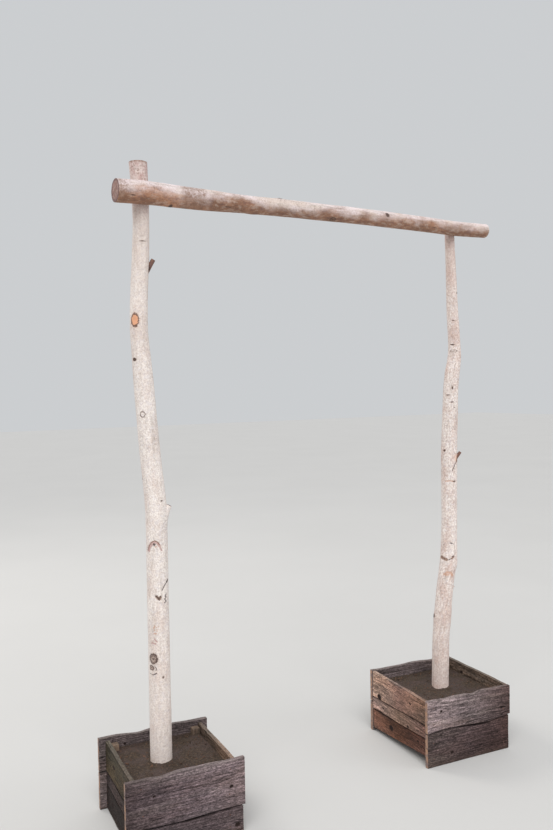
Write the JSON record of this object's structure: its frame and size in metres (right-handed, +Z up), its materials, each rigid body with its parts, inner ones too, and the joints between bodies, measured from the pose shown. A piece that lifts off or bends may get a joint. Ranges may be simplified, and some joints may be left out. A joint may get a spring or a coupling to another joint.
{
  "type": "rustic wooden arch on two plank boxes",
  "caption": "Open garden arch of two bark-covered posts, each standing in a plank box of soil, with a bark-covered crossbeam bolted to their front.",
  "frame": {"origin": "on the ground under the middle of the arch's overall length and depth", "axes": "+X along the crossbeam, +Y from the front to the back, +Z up"},
  "size_m": [1.8245, 0.4898, 2.438],
  "materials": {
    "pale_bark": "smooth pale bark with dark knots",
    "grey_bark": "smooth grey-cream bark with scars",
    "brown_bark": "pale and red-brown bark",
    "face_board": "weathered grey rough-sawn board",
    "side_board": "weathered brown rough-sawn board",
    "inner_wood": "rough-sawn timber",
    "soil": "damp potting soil",
    "zinc_steel": "zinc plated"
  },
  "bodies": {
    "root": {"left_post": "pale_bark", "right_post": "grey_bark", "crossbeam": "brown_bark", "left_coach_screw": "zinc_steel", "right_coach_screw": "zinc_steel", "left_box_front_upper_board": "face_board", "left_box_front_lower_board": "face_board", "left_box_back_upper_board": "face_board", "left_box_back_lower_board": "face_board", "left_box_outer_lower_board": "side_board", "left_box_outer_middle_board": "side_board", "left_box_outer_upper_board": "side_board", "left_box_inner_lower_board": "side_board", "left_box_inner_middle_board": "side_board", "left_box_inner_upper_board": "side_board", "left_box_outer_front_batten": "inner_wood", "left_box_outer_back_batten": "inner_wood", "left_box_inner_front_batten": "inner_wood", "left_box_inner_back_batten": "inner_wood", "left_box_front_floor_cleat": "inner_wood", "left_box_back_floor_cleat": "inner_wood", "left_box_floor_panel": "inner_wood", "left_box_soil": "soil", "right_box_front_upper_board": "face_board", "right_box_front_lower_board": "face_board", "right_box_back_upper_board": "face_board", "right_box_back_lower_board": "face_board", "right_box_outer_lower_board": "side_board", "right_box_outer_middle_board": "side_board", "right_box_outer_upper_board": "side_board", "right_box_inner_lower_board": "side_board", "right_box_inner_middle_board": "side_board", "right_box_inner_upper_board": "side_board", "right_box_outer_front_batten": "inner_wood", "right_box_outer_back_batten": "inner_wood", "right_box_inner_front_batten": "inner_wood", "right_box_inner_back_batten": "inner_wood", "right_box_front_floor_cleat": "inner_wood", "right_box_back_floor_cleat": "inner_wood", "right_box_floor_panel": "inner_wood", "right_box_soil": "soil"}
  },
  "joints": []
}
